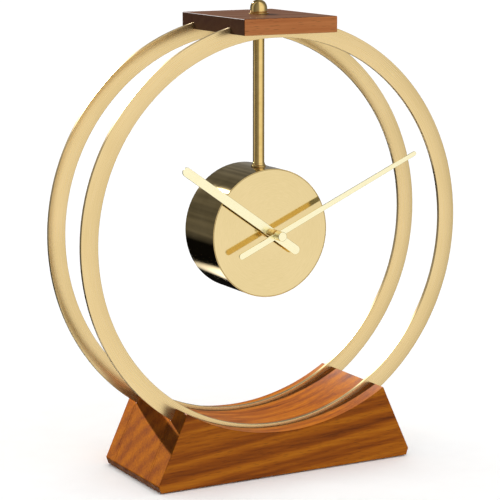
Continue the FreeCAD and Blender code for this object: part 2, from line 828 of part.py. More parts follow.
def circuit():
    """Circuit board on the cover's inner face, and the timing crystal beside it."""
    board_x = "0 - case_side / 2 + case_wall + plate_slack + board_length / 2"
    board_y = f"{COVER_INSIDE} - board_thick"
    low = f"{CENTRE} - bay_roof + 2 * plate_slack + crystal_length / 2"
    keep(box("board_length", "board_thick", "board_height", board_x, board_y, low), "circuit_board")
    crystal_y = f"{board_y} - crystal_radius"
    crystal_low = f"{low} + crystal_length"
    keep(bar("crystal_radius", "crystal_length", board_x, crystal_y, crystal_low), "quartz_crystal")


def involute(base, radius):
    """The angle by which an involute has left its base circle at one radius."""
    lift = math.sqrt(max((radius / base) ** 2 - 1, 0))
    return lift - math.atan(lift)


def gear_face(teeth, module, bore, addendum, phase):
    """Flat involute gear with one tooth centred on the phase angle, and a bore."""
    pitch = module * teeth / 2
    base = pitch * math.cos(math.radians(PRESSURE_ANGLE))
    tip, root = pitch + addendum * module, pitch - ROOT_DEPTH * module
    tooth_width = math.pi * module / 2 - number("gear_backlash")
    half = tooth_width / (2 * pitch) + involute(base, pitch)
    low = max(root, base)
    flank = [(root, half)] if root < base else []
    for step in range(FLANK_STEPS + 1):
        radius = low + (tip - low) * step / FLANK_STEPS
        flank.append((radius, half - involute(base, radius)))
    points = []
    for tooth in range(teeth):
        middle = phase + 2 * math.pi * tooth / teeth
        sides = [(radius, middle - spread) for radius, spread in flank]
        sides += [(radius, middle + spread) for radius, spread in reversed(flank)]
        points += [FreeCAD.Vector(r * math.cos(a), r * math.sin(a), 0) for r, a in sides]
    wires = [Part.makePolygon(points + points[:1])]
    if bore:
        wires.append(Part.Wire(Part.makeCircle(bore)))
    return Part.Face(wires, "Part::FaceMakerBullseye")


def gear(teeth, module, bore, thickness, front, addendum, phase=0.0):
    """A gear whose front face lies at a place along the movement's depth."""
    face = gear_face(teeth, module, bore, addendum, phase)
    solid = face.extrude(FreeCAD.Vector(0, 0, -thickness))
    solid.Placement = FreeCAD.Placement(FreeCAD.Vector(0, front, 0), FRONT_VIEW)
    return solid


def shaft(radius, start, end):
    return Part.makeCylinder(radius, end - start, FreeCAD.Vector(0, start, 0), Y_AXIS)


def pair_module(distance, first, second):
    return 2 * number(distance) / (first + second)


def meshed(bearing, driver_phase, driver_teeth, teeth):
    """Phase that puts a gap of the second gear on a tooth of the first."""
    turns = (bearing - driver_phase) * driver_teeth
    return bearing + math.pi - (math.pi - turns) / teeth


def feature(label, shape, x="0", z=CENTRE):
    """A shape made with Part's own functions, kept as a sub-part of the document."""
    made = doc.addObject("Part::Feature", label)
    made.Shape = shape
    spot = FreeCAD.Placement(FreeCAD.Vector(number(x), 0, number(z)), FreeCAD.Rotation())
    made.Placement = spot.multiply(shape.Placement)
    return keep(made, label)


def motion_work():
    """Cannon pinion, minute wheel and hour wheel: twelve turns of one for one of the other."""
    fast = pair_module("motion_distance", CANNON_TEETH, MINUTE_TEETH)
    slow = pair_module("motion_distance", MINUTE_PINION_TEETH, HOUR_TEETH)
    wheel, pinion = number("wheel_thick"), number("pinion_thick")
    top, bottom = number(level(MINUTE_LEVEL)), number(level(HOUR_LEVEL))
    centre = number("centre_radius")
    rear = number(level(CENTRE_LEVEL)) + wheel
    stub_end = number(f"{MINUTE_Y} - hand_thick - cap_grip")
    arbor = shaft(centre, number(MINUTE_Y), rear)
    arbor = arbor.fuse(shaft(number("stub_radius"), stub_end, number(MINUTE_Y)))
    arbor = arbor.fuse(gear(CANNON_TEETH, fast, 0, pinion, top, PINION_ADDENDUM))
    socket = number("pivot_radius + running_slack")
    arbor = arbor.cut(shaft(socket, rear - 2 * pinion, rear))
    feature("minute_arbor", arbor.removeSplitter())
    minute_phase = meshed(0.0, 0.0, CANNON_TEETH, MINUTE_TEETH)
    hour_phase = meshed(math.pi, minute_phase, MINUTE_PINION_TEETH, HOUR_TEETH)
    stem = number("knob_arbor")
    minute = gear(MINUTE_TEETH, fast, 0, wheel, top, WHEEL_ADDENDUM, minute_phase)
    leaves = gear(MINUTE_PINION_TEETH, slow, 0, top - bottom, bottom, PINION_ADDENDUM, minute_phase)
    minute = minute.fuse(leaves)
    minute = minute.fuse(shaft(stem, top + wheel, number(f"{CASE_REAR} + knob_gap")))
    feature("minute_wheel", minute.removeSplitter(), "motion_distance")
    pipe_end = number(f"{HOUR_Y} - hand_thick - pipe_stub")
    bore = number("pipe_inner")
    hour = gear(HOUR_TEETH, slow, bore, wheel, bottom, WHEEL_ADDENDUM, hour_phase)
    pipe = shaft(number("pipe_outer"), pipe_end, bottom + wheel)
    hour = hour.fuse(pipe).cut(shaft(bore, pipe_end, bottom + wheel))
    feature("hour_wheel", hour.removeSplitter())


def staff(label, wheel_gear, pinion_gear, ends, spot, phase):
    """Wheel and pinion on one arbor with a thin pivot at each end."""
    teeth, module, index = wheel_gear
    leaves, small_module, small_index = pinion_gear
    wheel_front, pinion_front = number(level(index)), number(level(small_index))
    body, pivot = number("arbor_radius"), number("pivot_radius")
    front, rear = ends
    shape = gear(teeth, module, 0, number("wheel_thick"), wheel_front, WHEEL_ADDENDUM, phase)
    thick = number("pinion_thick")
    leaf = gear(leaves, small_module, 0, thick, pinion_front, PINION_ADDENDUM, phase)
    body_end = number(f"{COVER_INSIDE} - end_shake")
    shape = shape.fuse(leaf).fuse(shaft(body, pinion_front, body_end))
    shape = shape.fuse(shaft(pivot, front, pinion_front)).fuse(shaft(pivot, pinion_front, rear))
    feature(label, shape.removeSplitter(), *spot)


def going_train():
    """Stepping rotor down to the centre wheel, each pair a wheel driven by a pinion."""
    spots = arbor_places()
    first = pair_module("third_distance", CENTRE_TEETH, THIRD_PINION_TEETH)
    second = pair_module("third_distance", THIRD_TEETH, SECONDS_PINION_TEETH)
    third = pair_module("second_distance", SECONDS_TEETH, SECOND_PINION_TEETH)
    fourth = pair_module("rotor_distance", SECOND_TEETH, ROTOR_PINION_TEETH)
    third_way = math.radians(number("third_bearing"))
    second_way = math.radians(number("second_bearing"))
    bore = number("centre_radius + friction_slack")
    front = number(level(CENTRE_LEVEL))
    wheel = gear(CENTRE_TEETH, first, bore, number("wheel_thick"), front, WHEEL_ADDENDUM)
    feature("centre_wheel", wheel)
    plate_hole = number(f"{level(PLATE_LEVEL)} + plate_thick - pivot_depth + end_shake")
    rear_pivot = number(f"{COVER_INSIDE} + pivot_depth - end_shake")
    ends = (plate_hole, rear_pivot)
    third_phase = meshed(third_way, 0.0, CENTRE_TEETH, THIRD_PINION_TEETH)
    third_wheel = (THIRD_TEETH, second, THIRD_LEVEL)
    third_pinion = (THIRD_PINION_TEETH, first, CENTRE_LEVEL)
    staff("third_wheel", third_wheel, third_pinion, ends, spots["third"], third_phase)
    seconds_phase = meshed(third_way + math.pi, third_phase, THIRD_TEETH, SECONDS_PINION_TEETH)
    socket_end = front + number("wheel_thick") - number("pinion_thick")
    staff(
        "seconds_wheel",
        (SECONDS_TEETH, third, SECONDS_LEVEL),
        (SECONDS_PINION_TEETH, second, THIRD_LEVEL),
        (socket_end, rear_pivot),
        ("0", CENTRE),
        seconds_phase,
    )
    second_phase = meshed(second_way, seconds_phase, SECONDS_TEETH, SECOND_PINION_TEETH)
    staff(
        "second_wheel",
        (SECOND_TEETH, fourth, SECOND_LEVEL),
        (SECOND_PINION_TEETH, third, SECONDS_LEVEL),
        ends,
        spots["second"],
        second_phase,
    )
    rotor_phase = meshed(second_way, second_phase, SECOND_TEETH, ROTOR_PINION_TEETH)
    rotor(fourth, rotor_phase, ends, spots["rotor"])


def rotor(module, phase, ends, spot):
    """Magnet and pinion of the stepping motor on one arbor."""
    start, magnet = number(level(SECOND_LEVEL)), number(level(ROTOR_LEVEL))
    front, rear = ends
    shape = gear(ROTOR_PINION_TEETH, module, 0, number("pinion_thick"), start, PINION_ADDENDUM, phase)
    shape = shape.fuse(shaft(number("magnet_radius"), magnet, magnet + number("magnet_thick")))
    body_end = number(f"{COVER_INSIDE} - end_shake")
    shape = shape.fuse(shaft(number("arbor_radius"), start, body_end))
    shape = shape.fuse(shaft(number("pivot_radius"), front, start))
    shape = shape.fuse(shaft(number("pivot_radius"), start, rear))
    feature("rotor", shape.removeSplitter(), *spot)


def set_knob():
    """Knurled knob on the minute wheel's arbor, behind the cover."""
    front = f"{CASE_REAR} + knob_gap"
    rear = f"{front} + knob_thick"
    corners = [("0", front), ("knob_radius", front), ("knob_radius", rear), ("0", rear)]
    turned("set_knob", "Y", corners, "motion_distance", "0", CENTRE)


def baton(label, y, tip, tail, tip_half, tail_half, hole, angle):
    """Flat hand with rounded ends, turned to the time it shows."""
    body, sketch = plate_body(label, "hand_thick", y, CENTRE)
    top, low = number(tip) - number(tip_half), number(tail) - number(tail_half)
    big, small = number(tail_half), number(tip_half)
    lean = math.asin((big - small) / (top + low))
    tip_circle = Part.Circle(FreeCAD.Vector(0, top, 0), FreeCAD.Vector(0, 0, 1), small)
    tail_circle = Part.Circle(FreeCAD.Vector(0, -low, 0), FreeCAD.Vector(0, 0, 1), big)
    tip_arc = Part.ArcOfCircle(tip_circle, lean, math.pi - lean)
    tail_arc = Part.ArcOfCircle(tail_circle, math.pi - lean, 2 * math.pi + lean)
    left = Part.LineSegment(tip_arc.EndPoint, tail_arc.StartPoint)
    right = Part.LineSegment(tail_arc.EndPoint, tip_arc.StartPoint)
    for piece in (tip_arc, left, tail_arc, right):
        sketch.addGeometry(piece, False)
    for index in range(4):
        following = (index + 1) % 4
        sketch.addConstraint(Sketcher.Constraint("Tangent", index, 2, following, 1))
    for index, half in ((0, tip_half), (2, tail_half)):
        made = sketch.addConstraint(Sketcher.Constraint("Radius", index, number(half)))
        sketch.setExpression(f"Constraints[{made}]", linked(half))
    pin_point(sketch, 0, 3, "0", f"{tip} - {tip_half}")
    pin_point(sketch, 2, 3, "0", f"0 - {tail} + {tail_half}")
    circle(sketch, hole)
    spot = FreeCAD.Vector(0, number(y), number(CENTRE))
    body.Placement = FreeCAD.Placement(spot, FreeCAD.Rotation(Y_AXIS, number(angle)))
    body.setExpression(".Placement.Rotation.Angle", linked(angle))
    return keep(body, label)


def hands():
    """Hour hand and its hub on the hour pipe, minute hand and cap on the minute arbor."""
    baton(
        "hour_hand",
        HOUR_Y,
        "hour_tip",
        "hour_tail",
        "hour_half_width",
        "hour_half_width",
        "pipe_outer",
        "hour_start + minute_angle / 12",
    )
    hub_rear = f"{HOUR_Y} - hand_thick"
    hub_front = f"{MINUTE_Y} + hub_space"
    turned("hand_hub", "Y", ring_corners("pipe_outer", "hub_radius", hub_front, hub_rear), z=CENTRE)
    baton(
        "minute_hand",
        MINUTE_Y,
        "minute_tip",
        "minute_tail",
        "minute_tip_half_width",
        "minute_tail_half_width",
        "stub_radius",
        "minute_angle",
    )
    base = f"{MINUTE_Y} - hand_thick"
    turned(
        "hand_cap",
        "Y",
        [
            ("stub_radius", base),
            ("cap_radius", base),
            ("cap_radius", f"{base} - cap_length + cap_chamfer"),
            ("cap_radius - cap_chamfer", f"{base} - cap_length"),
            ("0", f"{base} - cap_length"),
            ("0", f"{base} - cap_length / 2"),
            ("stub_radius", f"{base} - cap_length / 2"),
        ],
        z=CENTRE,
    )


def build():
    fill_sheet()
    base_block()
    base_felt()
    ring("front_ring", f"0 - {RING_OUT}")
    ring("rear_ring", "ring_gap / 2")
    cross_pins("base_pins", "pin_radius", "pin_side", "pin_height", "base_depth / 2")
    top_block()
    cross_pins("block_pins", "peg_radius", "peg_side", f"{BLOCK_BOTTOM} + peg_rise", "block_depth / 2")
    hanger()
    drum_shell()
    dial_and_fixings()
    movement_case()
    middle_plate()
    movement_cover()
    battery()
    battery_contacts()
    motor()
    motion_work()
    going_train()
    set_knob()
    hands()
    doc.recompute()


def check():
    """Stop before anything is written if a feature failed or a shape is not sound."""
    for item in doc.Objects:
        if "Invalid" in item.State or "Error" in item.State:
            raise ValueError(f"{item.Name} ({item.Label}) failed: {item.State}")
    for item in nodes:
        if item.Shape.isNull() or not item.Shape.isValid() or not item.Shape.Solids:
            raise ValueError(f"{item.Label} has no sound solid")


def export():
    os.makedirs("parts", exist_ok=True)
    for item in nodes:
        item.Shape.exportStep(os.path.join("parts", f"{item.Label}.step"))
        print(item.Label, len(item.Shape.Solids), round(item.Shape.Volume, 2))


build()
check()
export()
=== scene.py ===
# %% [markdown]
# # A double-ring table clock
# Two flat brass rings stand in a walnut foot, a walnut block ties them at the top, and a brass drum hangs
# from that block on a rod, with two baton hands in front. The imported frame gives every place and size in
# metres. This lesson gives each piece its finished shape and its finish, and then sets up the camera, the
# floor and the light.

# %% Load the frame
import math
import bmesh
import bpy
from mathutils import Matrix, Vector


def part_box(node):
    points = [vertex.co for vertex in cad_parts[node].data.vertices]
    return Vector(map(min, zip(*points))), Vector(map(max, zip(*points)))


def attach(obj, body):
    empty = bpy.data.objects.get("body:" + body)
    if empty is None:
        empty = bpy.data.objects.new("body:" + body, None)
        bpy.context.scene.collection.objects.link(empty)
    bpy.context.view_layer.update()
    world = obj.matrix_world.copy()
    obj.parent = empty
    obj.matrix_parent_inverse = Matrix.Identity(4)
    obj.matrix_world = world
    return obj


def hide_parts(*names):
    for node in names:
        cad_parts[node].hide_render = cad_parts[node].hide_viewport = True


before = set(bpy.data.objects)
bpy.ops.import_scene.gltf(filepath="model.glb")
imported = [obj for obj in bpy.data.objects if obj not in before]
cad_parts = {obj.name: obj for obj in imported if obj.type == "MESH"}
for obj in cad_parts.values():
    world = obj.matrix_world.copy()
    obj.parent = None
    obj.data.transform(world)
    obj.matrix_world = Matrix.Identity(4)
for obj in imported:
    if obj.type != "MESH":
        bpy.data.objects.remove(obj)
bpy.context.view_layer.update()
MM = 0.001

# %% [markdown]
# Everything hangs on a few places: the centre of the rings, the centre of the drum and the faces of the
# parts. They could be typed in as numbers, but they are read from the frame's boxes instead, so that they
# follow the design if it changes.

# %% Places
def centre_of(node):
    low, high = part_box(node)
    return (low + high) / 2


ring_centre = (centre_of("front_ring") + centre_of("rear_ring")) / 2
drum_centre = centre_of("dial_plate")
ring_radius = (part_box("front_ring")[1].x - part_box("front_ring")[0].x) / 2
print("rings' centre", ring_centre[:], "drum's centre", drum_centre[:], "ring radius", ring_radius)

# %% [markdown]
# The eye is a little above the clock and to the left of it, well back, through a long lens. A short lens
# close by would make the near ring look bigger than the far one. From far away both stay nearly round, and
# the left end of the foot still shows.

# %% Camera
EYE_AZIMUTH = math.radians(28.87)
EYE_HEIGHT = math.radians(10.33)
EYE_DISTANCE = 1.3317
AIM_OFFSET = Vector((-0.0051, -0.0002, -0.0145))
LENS = 146.4
SENSOR = 36.0

level = math.cos(EYE_HEIGHT)
into = Vector((math.sin(EYE_AZIMUTH) * level, math.cos(EYE_AZIMUTH) * level, -math.sin(EYE_HEIGHT)))
lens = bpy.data.cameras.new("long lens")
lens.lens = LENS
lens.sensor_width = SENSOR
eye = bpy.data.objects.new("eye", lens)
eye.location = ring_centre + AIM_OFFSET - into * EYE_DISTANCE
eye.rotation_euler = (math.pi / 2 - EYE_HEIGHT, 0, -EYE_AZIMUTH)
bpy.context.scene.collection.objects.link(eye)
bpy.context.scene.camera = eye
bpy.context.scene.view_settings.view_transform = "Standard"
print("eye at", eye.location[:])

# %% [markdown]
# A finish is a small tree of nodes. Trees could be drawn by hand in the shader editor, but written out they
# can share parts. The helpers here turn a colour written as sRGB hex into the linear numbers that light
# works with, put a value or a link into a socket, and add a node together with its settings.

# %% Helpers for nodes
def colour(code):
    parts = [int(code[i:i + 2], 16) / 255 for i in (1, 3, 5)]
    linear = [p / 12.92 if p <= 0.04045 else ((p + 0.055) / 1.055) ** 2.4 for p in parts]
    return (*linear, 1.0)


def plug(tree, socket, term):
    if isinstance(term, bpy.types.NodeSocket):
        tree.links.new(term, socket)
    else:
        socket.default_value = term


def add(tree, kind, **settings):
    node = tree.nodes.new(kind)
    for key, value in settings.items():
        if hasattr(node, key):
            setattr(node, key, value)
        else:
            name = key.replace("_", " ")
            plug(tree, next(s for s in node.inputs if s.name == name and s.enabled), value)
    return node


# %% [markdown]
# Most patterns need a little arithmetic on the way. These helpers each add one kind of node and hand back
# the socket that carries the result, so that a formula can be read from the inside outwards.

# %% Helpers for patterns
def calc(tree, operation, *terms):
    node = add(tree, "ShaderNodeMath", operation=operation)
    for socket, term in zip(node.inputs, terms):
        plug(tree, socket, term)
    return node.outputs[0]


def distance(tree, one, two):
    squares = [calc(tree, "MULTIPLY", side, side) for side in (one, two)]
    return calc(tree, "SQRT", calc(tree, "ADD", *squares))


def axes(tree, source):
    return add(tree, "ShaderNodeSeparateXYZ", Vector=source).outputs[:]


def ramp(tree, source, stops):
    node = tree.nodes.new("ShaderNodeValToRGB")
    plug(tree, node.inputs[0], source)
    bands = node.color_ramp.elements
    while len(bands) < len(stops):
        bands.new(0.5)
    for band, (place, shade) in zip(bands, stops):
        band.position = place
        band.color = colour(shade) if isinstance(shade, str) else (shade, shade, shade, 1)
    return node.outputs[0]


def spread(tree, source, span, result):
    node = add(tree, "ShaderNodeMapRange", Value=source)
    for key, value in zip(("From Min", "From Max", "To Min", "To Max"), (*span, *result)):
        node.inputs[key].default_value = value
    return node.outputs[0]


def mixed(tree, blend, amount, one, two):
    node = add(tree, "ShaderNodeMix", data_type="RGBA", blend_type=blend)
    for place, term in ((0, amount), (6, one), (7, two)):
        plug(tree, node.inputs[place], term)
    return node.outputs[2]


def noise(tree, source, **settings):
    return add(tree, "ShaderNodeTexNoise", Vector=source, **settings).outputs[0]


def start_finish(name, **sockets):
    material = bpy.data.materials.new(name)
    material.use_nodes = True
    tree = material.node_tree
    shader = tree.nodes["Principled BSDF"]
    for key, value in sockets.items():
        shader.inputs[key.replace("_", " ")].default_value = value
    return material, tree, shader, tree.nodes.new("ShaderNodeTexCoord").outputs["Object"]


# %% [markdown]
# Most finishes on the clock are one substance with a fine grain: a metal with rubbing lines, a moulded
# plastic with its sparked skin. A separate tree for each would say the same thing a dozen times, so one
# recipe serves them all. A noise as coarse as the real grain moves the colour between two close shades,
# moves the roughness a little, and lifts the surface by a few hundredths of a millimetre. A slow cloud is
# mixed in, because no real surface is the same all over.

# %% Fine-grained finish
GRAIN_SHARE = 0.6
CLOUDS_PER_METRE = 60.0
GRAIN_SPAN = (0.3, 0.7)


def grained(name, dark, light, grain_mm, rough, bump_mm, **sockets):
    material, tree, shader, coords = start_finish(name, **sockets)
    place = add(tree, "ShaderNodeMapping", Vector=coords, Scale=[1 / (g * MM) for g in grain_mm])
    grain = noise(tree, place.outputs[0], Scale=1.0, Detail=4.0)
    clouds = noise(tree, coords, Scale=CLOUDS_PER_METRE, Detail=2.0)
    both = calc(tree, "ADD", calc(tree, "MULTIPLY", grain, GRAIN_SHARE),
                calc(tree, "MULTIPLY", clouds, 1 - GRAIN_SHARE))
    plug(tree, shader.inputs["Base Color"], ramp(tree, both, list(zip(GRAIN_SPAN, (dark, light)))))
    plug(tree, shader.inputs["Roughness"], spread(tree, both, GRAIN_SPAN, rough))
    bump = add(tree, "ShaderNodeBump", Height=grain, Strength=0.5, Distance=bump_mm * MM)
    plug(tree, shader.inputs["Normal"], bump.outputs[0])
    return material


# %% [markdown]
# Walnut could be a flat picture of wood wrapped round the block, but then the grain would break at every
# edge. Here it is drawn as the solid it was sawn from. The trunk runs along the foot, so the pattern is
# stretched a long way in that direction: long dark streaks on the front, and the curved year rings where the
# end is cut. On end grain the streaks are seen end on and nearly vanish, so they are calmed there.

# %% Grain of walnut
BEND_CELLS = (4, 16, 16)
BEND = 0.006
STREAK_CELLS = (1.6, 120, 120)
FIBRE_CELLS = (40, 700, 700)
PORE_CELLS = (110, 1000, 1000)
YEAR_SHARE = 0.05
FIBRE_SHARE = 0.28
END_CALM = 0.75


def stretched(tree, source, scale, tilt=0.0):
    return add(tree, "ShaderNodeMapping", Vector=source, Rotation=(0, tilt, 0), Scale=scale).outputs[0]


def bent(tree, coords, tilt):
    cells = stretched(tree, coords, BEND_CELLS)
    wander = add(tree, "ShaderNodeTexNoise", Vector=cells, Scale=1.0, Detail=2.0)
    shift = add(tree, "ShaderNodeVectorMath", operation="SCALE", Scale=BEND)
    plug(tree, shift.inputs[0], wander.outputs["Color"])
    moved = add(tree, "ShaderNodeVectorMath", operation="ADD")
    plug(tree, moved.inputs[0], stretched(tree, coords, (1, 1, 1), tilt))
    plug(tree, moved.inputs[1], shift.outputs[0])
    return moved.outputs[0]


def year_rings(tree, place, pith, year_mm):
    _, y, z = axes(tree, place)
    reach = distance(tree, calc(tree, "SUBTRACT", y, pith[0]), calc(tree, "SUBTRACT", z, pith[1]))
    turns = calc(tree, "MULTIPLY", reach, 2 * math.pi / (year_mm * MM))
    return calc(tree, "MULTIPLY", calc(tree, "SINE", turns), YEAR_SHARE)


def streaks_in(tree, place, coords):
    facing = axes(tree, coords.node.outputs["Normal"])[0]
    calm = calc(tree, "SUBTRACT", 1.0, calc(tree, "MULTIPLY", calc(tree, "ABSOLUTE", facing), END_CALM))
    streaks = noise(tree, stretched(tree, place, STREAK_CELLS), Scale=1.0, Detail=4.0, Roughness=0.55)
    return calc(tree, "ADD", 0.5, calc(tree, "MULTIPLY", calc(tree, "SUBTRACT", streaks, 0.5), calm))


# %% [markdown]
# The finish adds up the rings, the streaks and the fibres into one tone and colours it in four shades. Fine
# dark pores and an oiled, half-gloss surface go over it. Past end_x the end faces are darker, partly as end
# grain that drinks oil and partly as painted shade; above top_z the top face is darker as painted shade.

# %% Oiled walnut
SHADE_STOPS = (0.28, 0.43, 0.56, 0.72)
PORE_DARKNESS = 0.45
# How much darker the end faces (end grain and painted shade) and the top face (painted shade) are made.
END_GRAIN_AND_SHADE = 0.88
PAINTED_TOP_SHADE = 0.72
OILED_ROUGHNESS = (0.46, 0.34)


# Painted shade: end faces past end_x are darkened, partly as real end grain, and the top face above top_z is
# darkened as painted shade.
def end_grain_and_painted_shade(tree, coords, end_x, top_z):
    x, _, z = axes(tree, coords)
    ends = calc(tree, "MULTIPLY", calc(tree, "GREATER_THAN", calc(tree, "ABSOLUTE", x), end_x), END_GRAIN_AND_SHADE)
    top_shade = calc(tree, "MULTIPLY", calc(tree, "GREATER_THAN", z, top_z), PAINTED_TOP_SHADE)
    return calc(tree, "SUBTRACT", 1.0, calc(tree, "MAXIMUM", ends, top_shade))


def walnut(name, shades, pith, year_mm, tilt, end_x, top_z, gloss):
    material, tree, shader, coords = start_finish(name, Specular_IOR_Level=gloss)
    place = bent(tree, coords, tilt)
    fibre = noise(tree, stretched(tree, coords, FIBRE_CELLS, tilt), Scale=1.0, Detail=3.0)
    fine = calc(tree, "MULTIPLY", calc(tree, "SUBTRACT", fibre, 0.5), FIBRE_SHARE)
    broad = calc(tree, "ADD", year_rings(tree, place, pith, year_mm), streaks_in(tree, place, coords))
    tone = calc(tree, "ADD", broad, fine)
    flecks = add(tree, "ShaderNodeTexVoronoi", Vector=stretched(tree, coords, PORE_CELLS, tilt), Scale=1.0)
    pores = ramp(tree, flecks.outputs["Distance"], [(0.12, 0.3), (0.3, 1.0)])
    body = mixed(tree, "MULTIPLY", PORE_DARKNESS, ramp(tree, tone, list(zip(SHADE_STOPS, shades))), pores)
    # The body colour is scaled down here on the faces that carry the painted shade.
    oiled = add(tree, "ShaderNodeVectorMath", operation="SCALE", Scale=end_grain_and_painted_shade(tree, coords, end_x, top_z))
    plug(tree, oiled.inputs[0], body)
    plug(tree, shader.inputs["Base Color"], oiled.outputs[0])
    plug(tree, shader.inputs["Roughness"], spread(tree, tone, GRAIN_SPAN, OILED_ROUGHNESS))
    bump = add(tree, "ShaderNodeBump", Height=fibre, Strength=0.25, Distance=0.05 * MM)
    plug(tree, shader.inputs["Normal"], bump.outputs[0])
    return material


# %% [markdown]
# The foot is golden brown with a gentle tilt to its grain. The tie block is redder. Its end faces are darker,
# partly end grain and partly painted shade, and its top face is darker as painted shade. The foot's own
# limits for this darkening lie far outside it, so it is the same all over.

# %% The two walnuts
NEVER = 1.0
FOOT_SHADES = ("#6C3002", "#A35205", "#C26C0A", "#DC8616")
TIE_SHADES = ("#AE5F2B", "#CA7842", "#D98A50", "#E59C60")
SKIN = 0.2 * MM

# The flecks are pores, really 0.2 mm wide; they are drawn at 1 mm so that a picture of the whole clock can
# hold them.
oiled_walnut = walnut("oiled walnut", FOOT_SHADES, pith=(-0.09, -0.06), year_mm=11, tilt=math.radians(7),
                      end_x=NEVER, top_z=NEVER, gloss=0.12)
# The tie's end faces and top face get painted shade; on the ends it is partly end grain.
tie_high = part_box("top_block")[1]
tie_walnut = walnut("red-brown walnut", TIE_SHADES, pith=(-0.05, 0.18), year_mm=6, tilt=0.0,
                    end_x=tie_high.x - SKIN, top_z=tie_high.z - SKIN, gloss=0.1)
print("wood finishes made")

# %% [markdown]
# Brass shows up four ways on this clock. The rings and the dial are satin: rubbed along the circle with fine
# abrasive and lacquered, pale champagne in colour. Lines that run round a circle need a pattern in polar
# coordinates, so the finish works out the radius and the turn of each spot first.

# %% Satin brass, rubbed round
RUB_SPAN = (0.35, 0.65)
RUB_STRETCH = 5.0
RUB_CLOUDS = 22.0


def round_brushed(name, dark, light, rough, line_mm):
    material, tree, shader, coords = start_finish(name, Metallic=1.0)
    x, _, z = axes(tree, coords)
    up = calc(tree, "SUBTRACT", z, ring_centre.z)
    polar = tree.nodes.new("ShaderNodeCombineXYZ")
    plug(tree, polar.inputs[0], calc(tree, "DIVIDE", distance(tree, up, x), line_mm * MM))
    plug(tree, polar.inputs[1], calc(tree, "MULTIPLY", calc(tree, "ARCTAN2", x, up), RUB_STRETCH))
    lines = noise(tree, polar.outputs[0], Scale=1.0, Detail=3.0)
    cloud = noise(tree, coords, Scale=RUB_CLOUDS, Detail=2.0)
    both = calc(tree, "ADD", calc(tree, "MULTIPLY", lines, 0.5), calc(tree, "MULTIPLY", cloud, 0.5))
    plug(tree, shader.inputs["Base Color"], ramp(tree, both, list(zip(RUB_SPAN, (dark, light)))))
    plug(tree, shader.inputs["Roughness"], spread(tree, both, RUB_SPAN, rough))
    bump = add(tree, "ShaderNodeBump", Height=lines, Strength=0.2, Distance=0.01 * MM)
    plug(tree, shader.inputs["Normal"], bump.outputs[0])
    return material


# The rubbing lines are really about 0.1 mm apart; they are drawn at 0.5 mm so that a picture of the whole
# clock can hold them.
satin_brass = round_brushed("satin champagne brass", "#DFC48C", "#EACF99", (0.24, 0.30), 0.5)
dial_brass = round_brushed("fine satin dial brass", "#E2CB94", "#EAD39D", (0.07, 0.11), 0.5)
print("satin brass made")

# %% [markdown]
# The other metals take the common recipe. The rod and its small fittings are polished. The drum's side is
# polished and a little smoky. The hands are a paler, whiter gold plate. The movement brings zinc-plated steel
# and the red-brown enamel of copper wire.

# %% Other metals
polished_brass = grained("polished brass", "#DDBB72", "#EBCB86", (3, 3, 3), (0.05, 0.10), 0.002, Metallic=1.0)
drum_brass = grained("smoky polished brass", "#C8AE74", "#E0C68C", (6, 14, 6), (0.03, 0.07), 0.004,
                     Metallic=1.0)
hand_gold = grained("pale gold plate", "#FBF0C4", "#FDF6CE", (2, 2, 2), (0.16, 0.24), 0.002, Metallic=1.0)
plated_steel = grained("zinc-plated steel", "#9A9C9C", "#C2C4C2", (0.6, 0.6, 0.6), (0.28, 0.42), 0.01,
                       Metallic=1.0)
copper = grained("enamelled copper wire", "#8E3A17", "#C4622C", (0.5, 0.5, 0.5), (0.2, 0.32), 0.01,
                 Metallic=1.0)
print("metal finishes made")

# %% [markdown]
# The rest is what a clock movement is made of: black moulded styrene for the case, white acetal for the
# wheels, a soft black washer, a green circuit board, and the green felt under the foot. Moulded plastic has a
# fine sparked skin, so its grain is a few tenths of a millimetre wide.

# %% Plastics, board and felt
black_plastic = grained("black moulded styrene", "#121314", "#1E1F20", (0.3, 0.3, 0.3), (0.42, 0.55), 0.02)
white_plastic = grained("white acetal", "#DAD8CE", "#EFEDE4", (0.8, 0.8, 0.8), (0.32, 0.42), 0.01)
rubber = grained("black rubber", "#17171A", "#232326", (0.5, 0.5, 0.5), (0.7, 0.85), 0.03)
felt = grained("dark green felt", "#1B2E22", "#2C4636", (0.5, 0.5, 0.5), (0.9, 1.0), 0.2, Sheen_Weight=0.4)
board = grained("green solder mask", "#0E3A1E", "#1D5A31", (1.5, 0.4, 1.5), (0.25, 0.4), 0.02)
print("plastics, board and felt made")

# %% [markdown]
# The battery is a steel can in a printed sleeve: dark for two thirds of its length, then an amber band. The
# band could be a separate piece, but it is only print, so a colour ramp along the can draws it, with fine
# scuffs over the top. There is no text on it.

# %% Sleeve of the cell
BAND_FROM = 0.66
SCUFFS_PER_METRE = 400.0
SCUFF_STRENGTH = 0.25


def cell_wrap():
    low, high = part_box("battery")
    material, tree, shader, coords = start_finish("printed cell sleeve", Coat_Weight=0.5)
    along = spread(tree, axes(tree, coords)[0], (low.x, high.x), (0, 1))
    bands = ramp(tree, along, [(0.0, "#2B2B2E"), (BAND_FROM, "#2E2E31"), (BAND_FROM + 0.01, "#B9832C"),
                               (1.0, "#C08B33")])
    scuffs = noise(tree, coords, Scale=SCUFFS_PER_METRE, Detail=3.0)
    plug(tree, shader.inputs["Base Color"], mixed(tree, "OVERLAY", SCUFF_STRENGTH, bands, scuffs))
    plug(tree, shader.inputs["Roughness"], ramp(tree, scuffs, [(0.3, 0.25), (0.7, 0.4)]))
    return material


cell_sleeve = cell_wrap()
print("cell sleeve made")

# %% [markdown]
# Sharp machine corners never catch the light, so every made piece gets a small rounded edge. It could be
# modelled by hand at every corner, but a Bevel modifier does it evenly and can be changed in one place. This
# helper puts a mesh in the scene with that edge and hands it to the body it moves with.

# %% Placing a piece
SHARP = math.radians(35)
MERGE = 0.001 * MM


